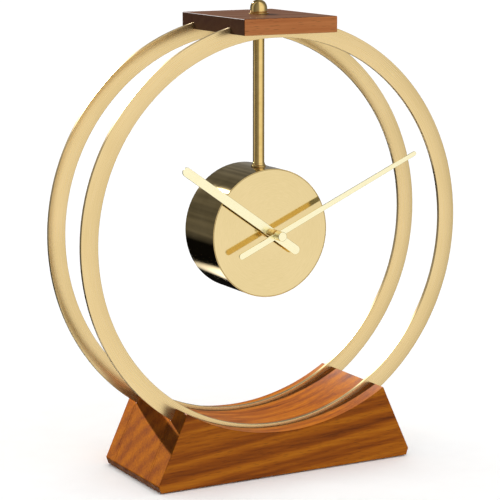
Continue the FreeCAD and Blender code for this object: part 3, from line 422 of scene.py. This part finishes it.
def set_piece(name, mesh, material, edge_mm, body, node):
    work = bmesh.new()
    work.from_mesh(mesh)
    bmesh.ops.remove_doubles(work, verts=work.verts, dist=MERGE)
    bmesh.ops.recalc_face_normals(work, faces=work.faces)
    work.to_mesh(mesh)
    work.free()
    for face in mesh.polygons:
        face.use_smooth = True
    mesh.set_sharp_from_angle(angle=SHARP)
    mesh.materials.append(material)
    piece = bpy.data.objects.new(name, mesh)
    bpy.context.scene.collection.objects.link(piece)
    if edge_mm:
        soft = piece.modifiers.new("rounded edge", "BEVEL")
        soft.width = edge_mm * MM
        soft.segments = 3
        soft.limit_method = "ANGLE"
        soft.angle_limit = SHARP
        soft.harden_normals = True
    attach(piece, body)
    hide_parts(node)
    print(name, [round(v / MM, 1) for v in piece.dimensions])


# %% [markdown]
# Two shapes make most of the clock. A turned piece is a section spun round an axis, as on a lathe; a section
# that starts on the axis closes there in one point, and one that starts away from it is a ring. A stacked
# piece is a row of outlines with the same number of points, one behind the other, like slices of bread.

# %% Helpers for shapes
def mesh_of(name, points, faces):
    mesh = bpy.data.meshes.new(name)
    mesh.from_pydata(points, [], faces)
    return mesh


def turned(name, axis, centre, corners, steps):
    points, rings, faces = [], [], []
    for radius, along in corners:
        count = 1 if radius == 0 else steps
        rings.append(range(len(points), len(points) + count))
        for k in range(count):
            angle = 2 * math.pi * k / steps
            a, b = radius * math.cos(angle), radius * math.sin(angle)
            spot = {"Y": (a, along, b), "Z": (a, b, along)}[axis]
            points.append(Vector(spot) + centre)
    is_ring = corners[0][0] > 0
    pairs = list(zip(rings, rings[1:])) + ([(rings[-1], rings[0])] if is_ring else [])
    for one, two in pairs:
        for k in range(steps):
            quad = [one[k % len(one)], one[(k + 1) % len(one)], two[(k + 1) % len(two)], two[k % len(two)]]
            faces.append(list(dict.fromkeys(quad)))
    return mesh_of(name, points, faces)


def stacked(name, sections):
    points, faces = [], []
    size = len(sections[0][1])
    for y, outline in sections:
        points += [(x, y, z) for x, z in outline]
    for s in range(len(sections) - 1):
        for k in range(size):
            a, b = s * size + k, s * size + (k + 1) % size
            faces.append([a, b, b + size, a + size])
    faces.append(list(range(size)))
    faces.append(list(range(len(points) - size, len(points))))
    return mesh_of(name, points, faces)


# %% [markdown]
# The foot is one block of walnut, sawn with sloping ends and a hollow top, and slotted twice for the rings. A
# real maker would rout the slots with a radius arm. Cutting them here with a Boolean would leave ragged
# triangles that spoil a rounded edge, so the foot is built as slices across its width: the same number of
# points all round, with the slot's deeper curve used between the slot's two walls.

# %% Outline of the foot
SADDLE_RADIUS = 140 * MM
SADDLE_CENTRE = 169.46 * MM
FOOT_TOP = (73 * MM, 50 * MM)
FOOT_WIDE = (93.5 * MM, 5.3 * MM)
FOOT_LOW = (92 * MM, 0.8 * MM)
ARC_STEPS = 72


def arc(radius, height, end_x):
    end = math.asin(end_x / radius)
    turns = [end * (1 - 2 * k / ARC_STEPS) for k in range(ARC_STEPS + 1)]
    return [(radius * math.sin(t), height - radius * math.cos(t)) for t in turns]


def foot_outline(radius, height, end_x):
    below = [(-FOOT_LOW[0], FOOT_LOW[1]), FOOT_LOW, FOOT_WIDE]
    return below + arc(radius, height, end_x) + [(-FOOT_WIDE[0], FOOT_WIDE[1])]


def slotted(name, plain, slot, low_y, high_y):
    slices = [(low_y, plain)]
    for ring in ("front_ring", "rear_ring"):
        near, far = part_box(ring)[0].y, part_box(ring)[1].y
        slices += [(near, plain), (near, slot), (far, slot), (far, plain)]
    return stacked(name, slices + [(high_y, plain)])


# %% [markdown]
# The slot's curve is the ring's own outside, so it leaves the foot through the sloping end a little below
# the corner. That mouth has no neat formula. Guessing a width, finding the height of the ring there and
# sliding down the slope to that height gives a better guess, and after a few rounds it stops changing.

# %% Walnut foot
MOUTH_ROUNDS = 20

slope = (FOOT_WIDE[0] - FOOT_TOP[0]) / (FOOT_TOP[1] - FOOT_WIDE[1])
mouth = FOOT_TOP[0]
for _ in range(MOUTH_ROUNDS):
    mouth_height = ring_centre.z - math.sqrt(ring_radius ** 2 - mouth ** 2)
    mouth = FOOT_TOP[0] + (FOOT_TOP[1] - mouth_height) * slope
low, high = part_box("base_block")
saddle = foot_outline(SADDLE_RADIUS, SADDLE_CENTRE, FOOT_TOP[0])
foot = slotted("walnut_foot", saddle, foot_outline(ring_radius, ring_centre.z, mouth), low.y, high.y)
set_piece("walnut_foot", foot, oiled_walnut, 0.5, "stand", "base_block")

# %% [markdown]
# Some pieces follow a rule, and Geometry Nodes suit them. These helpers start a tree with named sizes, end it
# in Realize Instances and Set Material, and turn its result into a plain mesh. Each size is set by its
# socket's identifier, because two sockets may share a name.

# %% Helpers for Geometry Nodes
def tree_with(name, sizes):
    tree = bpy.data.node_groups.new(name, "GeometryNodeTree")
    tree.interface.new_socket("Geometry", in_out="INPUT", socket_type="NodeSocketGeometry")
    for label in sizes:
        tree.interface.new_socket(label, in_out="INPUT", socket_type="NodeSocketFloat")
    tree.interface.new_socket("Finish", in_out="INPUT", socket_type="NodeSocketMaterial")
    tree.interface.new_socket("Geometry", in_out="OUTPUT", socket_type="NodeSocketGeometry")
    return tree, tree.nodes.new("NodeGroupInput").outputs, tree.nodes.new("NodeGroupOutput").inputs


def close_tree(tree, shape, given, result):
    solid = add(tree, "GeometryNodeRealizeInstances", Geometry=shape)
    tinted = add(tree, "GeometryNodeSetMaterial", Geometry=solid.outputs[0], Material=given["Finish"])
    plug(tree, result[0], tinted.outputs[0])
    return tree


def grown(name, tree, values, start):
    piece = bpy.data.objects.new(name, start)
    bpy.context.scene.collection.objects.link(piece)
    modifier = piece.modifiers.new(name, "NODES")
    modifier.node_group = tree
    sockets = {s.name: s.identifier for s in tree.interface.items_tree if s.in_out == "INPUT"}
    for label, value in values.items():
        modifier[sockets[label]] = value
    made = bpy.data.meshes.new_from_object(piece.evaluated_get(bpy.context.evaluated_depsgraph_get()))
    bpy.data.objects.remove(piece)
    made.materials.clear()
    made.name = name
    return made


# %% [markdown]
# Each ring is flat brass, cut as a ring and rubbed to a satin face. It could be turned like the drum, but a
# tree that sweeps the small section round a circle makes both rings from a few named sizes. Fillet Curve
# breaks the section's four corners on the way, so no Bevel modifier is needed.

# %% Rings
RING_WIDTH = 11.7 * MM
RING_EDGE = 0.25 * MM
RING_STEPS = 288


def ring_tree():
    sizes = ("Middle radius", "Width", "Thickness", "Edge", "Height", "Depth")
    tree, given, result = tree_with("flat ring", sizes)
    path = add(tree, "GeometryNodeCurvePrimitiveCircle", Resolution=RING_STEPS, Radius=given["Middle radius"])
    bar = add(tree, "GeometryNodeCurvePrimitiveQuadrilateral", Width=given["Width"],
              Height=given["Thickness"])
    soft = add(tree, "GeometryNodeFilletCurve", Curve=bar.outputs[0], Radius=given["Edge"], mode="POLY",
               Count=3)
    swept = tree.nodes.new("GeometryNodeCurveToMesh")
    plug(tree, swept.inputs["Curve"], path.outputs[0])
    plug(tree, swept.inputs["Profile Curve"], soft.outputs[0])
    spot = tree.nodes.new("ShaderNodeCombineXYZ")
    plug(tree, spot.inputs[1], given["Depth"])
    plug(tree, spot.inputs[2], given["Height"])
    standing = add(tree, "GeometryNodeTransform", Geometry=swept.outputs[0], Rotation=(math.pi / 2, 0, 0),
                   Translation=spot.outputs[0])
    return close_tree(tree, standing.outputs[0], given, result)


flat_ring = ring_tree()
for node in ("front_ring", "rear_ring"):
    low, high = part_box(node)
    sizes = {"Middle radius": ring_radius - RING_WIDTH / 2, "Width": RING_WIDTH, "Thickness": high.y - low.y,
             "Edge": RING_EDGE, "Height": ring_centre.z, "Depth": (low.y + high.y) / 2, "Finish": satin_brass}
    mesh = grown("satin_" + node, flat_ring, sizes, bpy.data.meshes.new(node + " start"))
    set_piece("satin_" + node, mesh, satin_brass, 0, "stand", node)

# %% [markdown]
# The tie block at the top is a flat bar of walnut with the same two slots, cut from below, that drop over the
# rings. It is sliced like the foot. Here the slot's roof is the ring's outside wherever that is above the
# block's underside.

# %% Walnut tie block
low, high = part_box("top_block")


def tie_outline(underside):
    xs = [high.x - (high.x - low.x) * k / ARC_STEPS for k in range(ARC_STEPS + 1)]
    return [(low.x, high.z), (high.x, high.z)] + [(x, underside(x)) for x in xs]


roof = tie_outline(lambda x: max(low.z, ring_centre.z + math.sqrt(ring_radius ** 2 - x * x)))
tie = slotted("walnut_tie", tie_outline(lambda x: low.z), roof, low.y, high.y)
set_piece("walnut_tie", tie, tie_walnut, 0.5, "stand", "top_block")

# %% [markdown]
# The rod's flange, the washer, the domed nut and the small flared collar are brass turned on a lathe: each is
# a section spun round the upright axis. A section lists pairs of radius and height in millimetres, from the
# bottom of the piece, which is how a turner reads a drawing.

# %% Rod fittings
FITTING_STEPS = 128
ROD_RADIUS = 3.75
STUD_HOLE = 2.2
FLANGE_RADIUS = 6.5


def upright(name, node, corners, edge_mm):
    low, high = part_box(node)
    foot_point = Vector(((low.x + high.x) / 2, (low.y + high.y) / 2, low.z))
    mesh = turned(name, "Z", foot_point, [(r * MM, h * MM) for r, h in corners], FITTING_STEPS)
    set_piece(name, mesh, polished_brass, edge_mm, "stand", node)


def washer_section(node, hole):
    low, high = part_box(node)
    tall = (high.z - low.z) / MM
    return [(hole, 0), (FLANGE_RADIUS, 0), (FLANGE_RADIUS, tall), (hole, tall)]


upright("brass_flange", "rod_flange", washer_section("rod_flange", ROD_RADIUS), 0.3)
upright("brass_washer", "top_washer", washer_section("top_washer", STUD_HOLE), 0.2)
bore = ROD_RADIUS + 0.01
collar = [(bore, 0), (5.0, 0), (5.0, 0.5), (4.5, 0.9), (4.15, 1.5), (4.05, 2.2), (bore, 2.2)]
upright("flared_collar", "rod_collar", collar, 0.15)

# %% [markdown]
# The domed nut has a straight skirt, a half-round top and a blind hole from below. Its section starts and
# ends on the axis, so the dome closes in a single point.

# %% Domed nut
NUT_RADIUS, SKIRT, BORE, BORE_DEPTH = 5.5, 3.0, 3.1, 5.6
DOME_STEPS = 12

dome = [(0, BORE_DEPTH), (BORE, BORE_DEPTH), (BORE, 0), (NUT_RADIUS, 0), (NUT_RADIUS, SKIRT)]
for step in range(1, DOME_STEPS):
    rise = step * math.pi / 2 / DOME_STEPS
    dome.append((NUT_RADIUS * math.cos(rise), SKIRT + NUT_RADIUS * math.sin(rise)))
upright("domed_nut", "dome_nut", dome + [(0, SKIRT + NUT_RADIUS)], 0.2)

# %% [markdown]
# The drum is a spun brass cup, open behind, with a wall across it near the front that the movement hangs on.
# The dial is a thin disc let into the drum's front edge. Both are turned round the axis of the hands, which
# runs from front to back, and their sections list pairs of radius and depth.

# %% Drum and dial
SPUN_STEPS = 160
OUTSIDE, INSIDE, LEDGE, DIAL_EDGE = 42, 40.8, 41.4, 41.35
FRONT, BACK, DIAL_BACK = -16, 23, -15
WALL_FRONT, WALL_BACK = -12.4, -11.2
WALL_HOLE, DIAL_HOLE = 5.5, 2.9


def spun(name, node, corners, edge_mm, material, body="stand"):
    middle = Vector((drum_centre.x, 0, drum_centre.z))
    mesh = turned(name, "Y", middle, [(r * MM, y * MM) for r, y in corners], SPUN_STEPS)
    set_piece(name, mesh, material, edge_mm, body, node)


wall = [(INSIDE, WALL_BACK), (WALL_HOLE, WALL_BACK), (WALL_HOLE, WALL_FRONT), (INSIDE, WALL_FRONT)]
drum = [(OUTSIDE, FRONT), (OUTSIDE, BACK), (INSIDE, BACK)] + wall
drum += [(INSIDE, DIAL_BACK), (LEDGE, DIAL_BACK), (LEDGE, FRONT)]
dial = [(DIAL_HOLE, FRONT), (DIAL_EDGE, FRONT), (DIAL_EDGE, DIAL_BACK), (DIAL_HOLE, DIAL_BACK)]
spun("brass_drum", "drum_shell", drum, 0.2, drum_brass)
spun("brass_dial", "dial_plate", dial, 0.15, dial_brass)

# %% [markdown]
# The hands are flat batons of plated brass with round ends, sawn from sheet. Each outline is drawn along its
# own line from the middle of the dial, turned to the hour it shows, and given the sheet's thickness. The
# turn is built into the mesh, so that the finished piece itself stays unturned.

# %% Hands
END_STEPS = 16
HOUR_BATON = {"tip": 80, "tail": 23, "wide_tip": 3.0, "wide_tail": 3.0, "turn_deg": 305.5}
MINUTE_BATON = {"tip": 115.5, "tail": 30.5, "wide_tip": 1.5, "wide_tail": 2.0, "turn_deg": 66}


def baton(tip, tail, wide_tip, wide_tail, turn_deg):
    turn = math.radians(turn_deg)
    outline = []
    for along, wide, start in ((tip - wide_tip, wide_tip, -90), (wide_tail - tail, wide_tail, 90)):
        for k in range(END_STEPS + 1):
            angle = math.radians(start + 180 * k / END_STEPS)
            outline.append((along + wide * math.cos(angle), wide * math.sin(angle)))
    return [(drum_centre.x + (u * math.sin(turn) - v * math.cos(turn)) * MM,
             drum_centre.z + (u * math.cos(turn) + v * math.sin(turn)) * MM) for u, v in outline]


def hand(name, node, outline, body):
    low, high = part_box(node)
    mesh = stacked(name, [(low.y, outline), (high.y, outline)])
    set_piece(name, mesh, hand_gold, 0.2, body, node)


hand("gold_hour_hand", "hour_hand", baton(**HOUR_BATON), "hour_set")
hand("gold_minute_hand", "minute_hand", baton(**MINUTE_BATON), "minute_set")

# %% [markdown]
# The hour hand is riveted to a small tube, its hub, and a round cap holds the minute hand. Both are turned,
# and their front and back faces come from the frame.

# %% Hub and cap
HUB_BORE, HUB_RADIUS, CAP_RADIUS = 2.0, 3.2, 3.1

front, back = (corner.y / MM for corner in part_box("hand_hub"))
hub = [(HUB_BORE, front), (HUB_RADIUS, front), (HUB_RADIUS, back), (HUB_BORE, back)]
spun("brass_hub", "hand_hub", hub, 0.2, polished_brass, "hour_set")
front, back = (corner.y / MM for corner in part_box("hand_cap"))
cap = [(0, front), (CAP_RADIUS, front), (CAP_RADIUS, back), (0, back)]
spun("gold_cap", "hand_cap", cap, 0.4, hand_gold, "minute_set")

# %% [markdown]
# Behind, the movement has a ribbed setting knob that a finger turns. Its body is turned, and the ribs repeat
# by a rule, so Geometry Nodes set one thin rod at each point of a circle and join them to the body.

# %% Ribs round a knob
RIBS = 24
RIB_SIDES = 10


def rib_tree():
    tree, given, result = tree_with("ribs round a knob", ("Radius", "Length", "Rib", "X", "Y", "Z"))
    path = add(tree, "GeometryNodeCurvePrimitiveCircle", Resolution=RIBS, Radius=given["Radius"])
    rib = add(tree, "GeometryNodeMeshCylinder", Vertices=RIB_SIDES, Radius=given["Rib"],
              Depth=given["Length"])
    many = add(tree, "GeometryNodeInstanceOnPoints", Points=path.outputs[0], Instance=rib.outputs[0])
    spot = tree.nodes.new("ShaderNodeCombineXYZ")
    for k, label in enumerate("XYZ"):
        plug(tree, spot.inputs[k], given[label])
    aside = add(tree, "GeometryNodeTransform", Geometry=many.outputs[0], Rotation=(math.pi / 2, 0, 0),
                Translation=spot.outputs[0])
    both = tree.nodes.new("GeometryNodeJoinGeometry")
    tree.links.new(given["Geometry"], both.inputs[0])
    tree.links.new(aside.outputs[0], both.inputs[0])
    return close_tree(tree, both.outputs[0], given, result)


# %% [markdown]
# The knob's outer face is dished, so that a fingertip finds it. The ribs are a little shorter than the knob,
# which leaves a smooth rim at each end.

# %% Setting knob
KNOB_RADIUS = 6.0 * MM
KNOB_STEPS = 96
RIB_RADIUS = 0.42 * MM
RIB_SHARE = 0.9
DISH = 0.4 * MM

low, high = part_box("set_knob")
middle = (low + high) / 2
core = KNOB_RADIUS - RIB_RADIUS
floor_y = high.y - DISH
knob_section = [(0, low.y), (core, low.y), (core, high.y), (0.6 * core, high.y), (0.55 * core, floor_y),
                (0, floor_y)]
knob_body = turned("knob body", "Y", Vector((middle.x, 0, drum_centre.z)), knob_section, KNOB_STEPS)
sizes = {"Radius": core, "Length": RIB_SHARE * (high.y - low.y), "Rib": RIB_RADIUS, "X": middle.x,
         "Y": middle.y, "Z": drum_centre.z, "Finish": black_plastic}
knob = grown("ribbed_knob", rib_tree(), sizes, knob_body)
set_piece("ribbed_knob", knob, black_plastic, 0, "setting_set", "set_knob")

# %% [markdown]
# The pieces inside the drum and under the foot keep the shape the design gave them: pressed plates, moulded
# wheels, pins and nuts. They only need the finish of what they are made of. Adding a material to the mesh the
# frame loaded is enough, because the mesh already rides with its body.

# %% Pieces that keep their shape
FINISHES = {
    "base_felt": felt, "base_pins": plated_steel, "block_pins": plated_steel, "hanger_rod": polished_brass,
    "drum_washer": plated_steel, "drum_nut": plated_steel, "dial_washer": plated_steel,
    "dial_nut": polished_brass, "cushion_washer": rubber, "centre_bush": polished_brass,
    "movement_case": black_plastic, "middle_plate": white_plastic, "movement_cover": black_plastic,
    "battery_contacts": plated_steel, "stator": plated_steel, "coil_core": plated_steel, "coil": copper,
    "circuit_board": board, "quartz_crystal": plated_steel, "minute_arbor": polished_brass,
    "hour_wheel": white_plastic, "minute_wheel": white_plastic, "seconds_wheel": white_plastic,
    "third_wheel": white_plastic, "centre_wheel": white_plastic, "second_wheel": white_plastic,
    "rotor": plated_steel, "battery": cell_sleeve,
}
for node, material in FINISHES.items():
    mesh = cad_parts[node].data
    mesh.materials.clear()
    mesh.materials.append(material)
print("finished", len(FINISHES), "kept pieces")

# %% [markdown]
# The clock stands under a soft bright room. Panels with lamps in them could make it, but here the room's
# brightness simply changes with direction, as in a studio: a wide white wall in front and to the right, a
# dark side to the left and behind, and one thin bright gap. Metal shows exactly that, so it is what gives
# the rod its stripes and the drum its smoky side.

# %% The room that metal mirrors
# Each wall is a share of a full turn and its brightness.
WALLS = [(0.0, 1.1), (0.042, 1.0), (0.085, 0.35), (0.17, 0.25), (0.25, 0.13), (0.29, 0.3), (0.33, 0.7),
         (0.36, 0.4), (0.40, 0.14), (0.5, 0.12), (0.57, 0.2), (0.61, 0.35), (0.68, 0.22), (0.76, 0.16),
         (0.84, 0.5), (0.885, 0.95), (0.92, 1.04), (1.0, 1.1)]
BEHIND = [(0.45, 0.0), (0.7, 1.0)]
LOW_DARK = [(0.36, 0.03), (0.42, 1.0)]
MOTTLE = [(0.35, 0.75), (0.65, 1.25)]
MOTTLE_SCALE = 14.0
GAP_DEPTH = 0.508
GAP_EDGE = [(0.010, 1.0), (0.026, 0.0)]
GAP_STRENGTH = 2.4


def mirrored_room(tree, way):
    x, y, z = axes(tree, way)
    turn = calc(tree, "ADD", calc(tree, "DIVIDE", calc(tree, "ARCTAN2", x, y), 2 * math.pi), 0.5)
    behind = ramp(tree, y, BEHIND)
    spots = ramp(tree, noise(tree, way, Scale=MOTTLE_SCALE, Detail=4.0), MOTTLE)
    low_dark = ramp(tree, calc(tree, "ADD", calc(tree, "MULTIPLY", z, 0.5), 0.5), LOW_DARK)
    fade = mixed(tree, "MIX", behind, (1, 1, 1, 1), calc(tree, "MULTIPLY", spots, low_dark))
    gap = ramp(tree, calc(tree, "ABSOLUTE", calc(tree, "ADD", z, GAP_DEPTH)), GAP_EDGE)
    gap = calc(tree, "MULTIPLY", calc(tree, "MULTIPLY", gap, behind), GAP_STRENGTH)
    return calc(tree, "ADD", calc(tree, "MULTIPLY", ramp(tree, turn, WALLS), fade), gap)


# %% [markdown]
# Matt surfaces gather light from everywhere, so for them the room is simpler: one soft box straight ahead
# and a little light all round. Seen directly, the room is plain white. A Light Path node tells the three
# kinds of ray apart.

# %% Studio
SOFT_BOX_POWER = 7.0
SOFT_BOX_STRENGTH = 2.55
ALL_ROUND = 0.03


def studio():
    world = bpy.data.worlds.new("studio")
    world.use_nodes = True
    bpy.context.scene.world = world
    tree = world.node_tree
    way = tree.nodes.new("ShaderNodeTexCoord").outputs["Generated"]
    ahead = calc(tree, "MAXIMUM", calc(tree, "MULTIPLY", axes(tree, way)[1], -1.0), 0.0)
    box = calc(tree, "MULTIPLY", calc(tree, "POWER", ahead, SOFT_BOX_POWER), SOFT_BOX_STRENGTH)
    path = tree.nodes.new("ShaderNodeLightPath").outputs
    matt = calc(tree, "MULTIPLY", calc(tree, "ADD", box, ALL_ROUND), path["Is Diffuse Ray"])
    metal = calc(tree, "MULTIPLY", mirrored_room(tree, way), path["Is Glossy Ray"])
    back = tree.nodes["Background"]
    lit = calc(tree, "ADD", matt, metal)
    plug(tree, back.inputs["Strength"], calc(tree, "ADD", lit, path["Is Camera Ray"]))
    back.inputs["Color"].default_value = (1, 1, 1, 1)


studio()
print("room set")

# %% [markdown]
# The clock stands on a plain pale floor. It takes the clock's shadow, but metal doesn't mirror it and it
# throws no light back, so that it can be as bright as the room without washing out the wood.

# %% Floor
FLOOR_HALF = 8.0


def lay_floor():
    corners = [(x * FLOOR_HALF, y * FLOOR_HALF, 0) for x, y in ((-1, -1), (1, -1), (1, 1), (-1, 1))]
    mesh = mesh_of("floor", corners, [(0, 1, 2, 3)])
    mesh.materials.append(grained("pale floor", "#FBFBFB", "#FFFFFF", (40, 40, 40), (0.8, 0.9), 0.0))
    plane = bpy.data.objects.new("floor", mesh)
    bpy.context.scene.collection.objects.link(plane)
    plane.visible_glossy = False
    plane.visible_diffuse = False
    return plane


ground = lay_floor()
print("floor laid")

# %% [markdown]
# One clear lamp stands behind the clock, to the left and 29 degrees up. It throws the rings' shadows forward
# over the foot and lights the hollow. A second, very soft lamp is only for the floor. Light linking says
# which lamp reaches what: the floor lamp lights the floor alone, and the key lamp leaves the floor out.

# %% Lamps
KEY_FROM = Vector((-0.206, 0.848, 0.488))


def lamp(name, direction, strength, spread_deg):
    light = bpy.data.lights.new(name, "SUN")
    light.energy = strength
    light.angle = math.radians(spread_deg)
    holder = bpy.data.objects.new(name, light)
    holder.rotation_euler = direction.to_track_quat("Z", "Y").to_euler()
    bpy.context.scene.collection.objects.link(holder)
    return holder


def floor_in_list(name):
    group = bpy.data.collections.new(name)
    group.objects.link(ground)
    return group


key = lamp("key lamp", KEY_FROM, strength=5.6, spread_deg=1.5)
wash = lamp("floor lamp", Vector((0, 0, 1)), strength=3.1, spread_deg=120)
wash.light_linking.receiver_collection = floor_in_list("floor lamp lights")
left_out = floor_in_list("key lamp leaves out")
left_out.collection_objects[0].light_linking.link_state = "EXCLUDE"
key.light_linking.receiver_collection = left_out
print("lamps set")
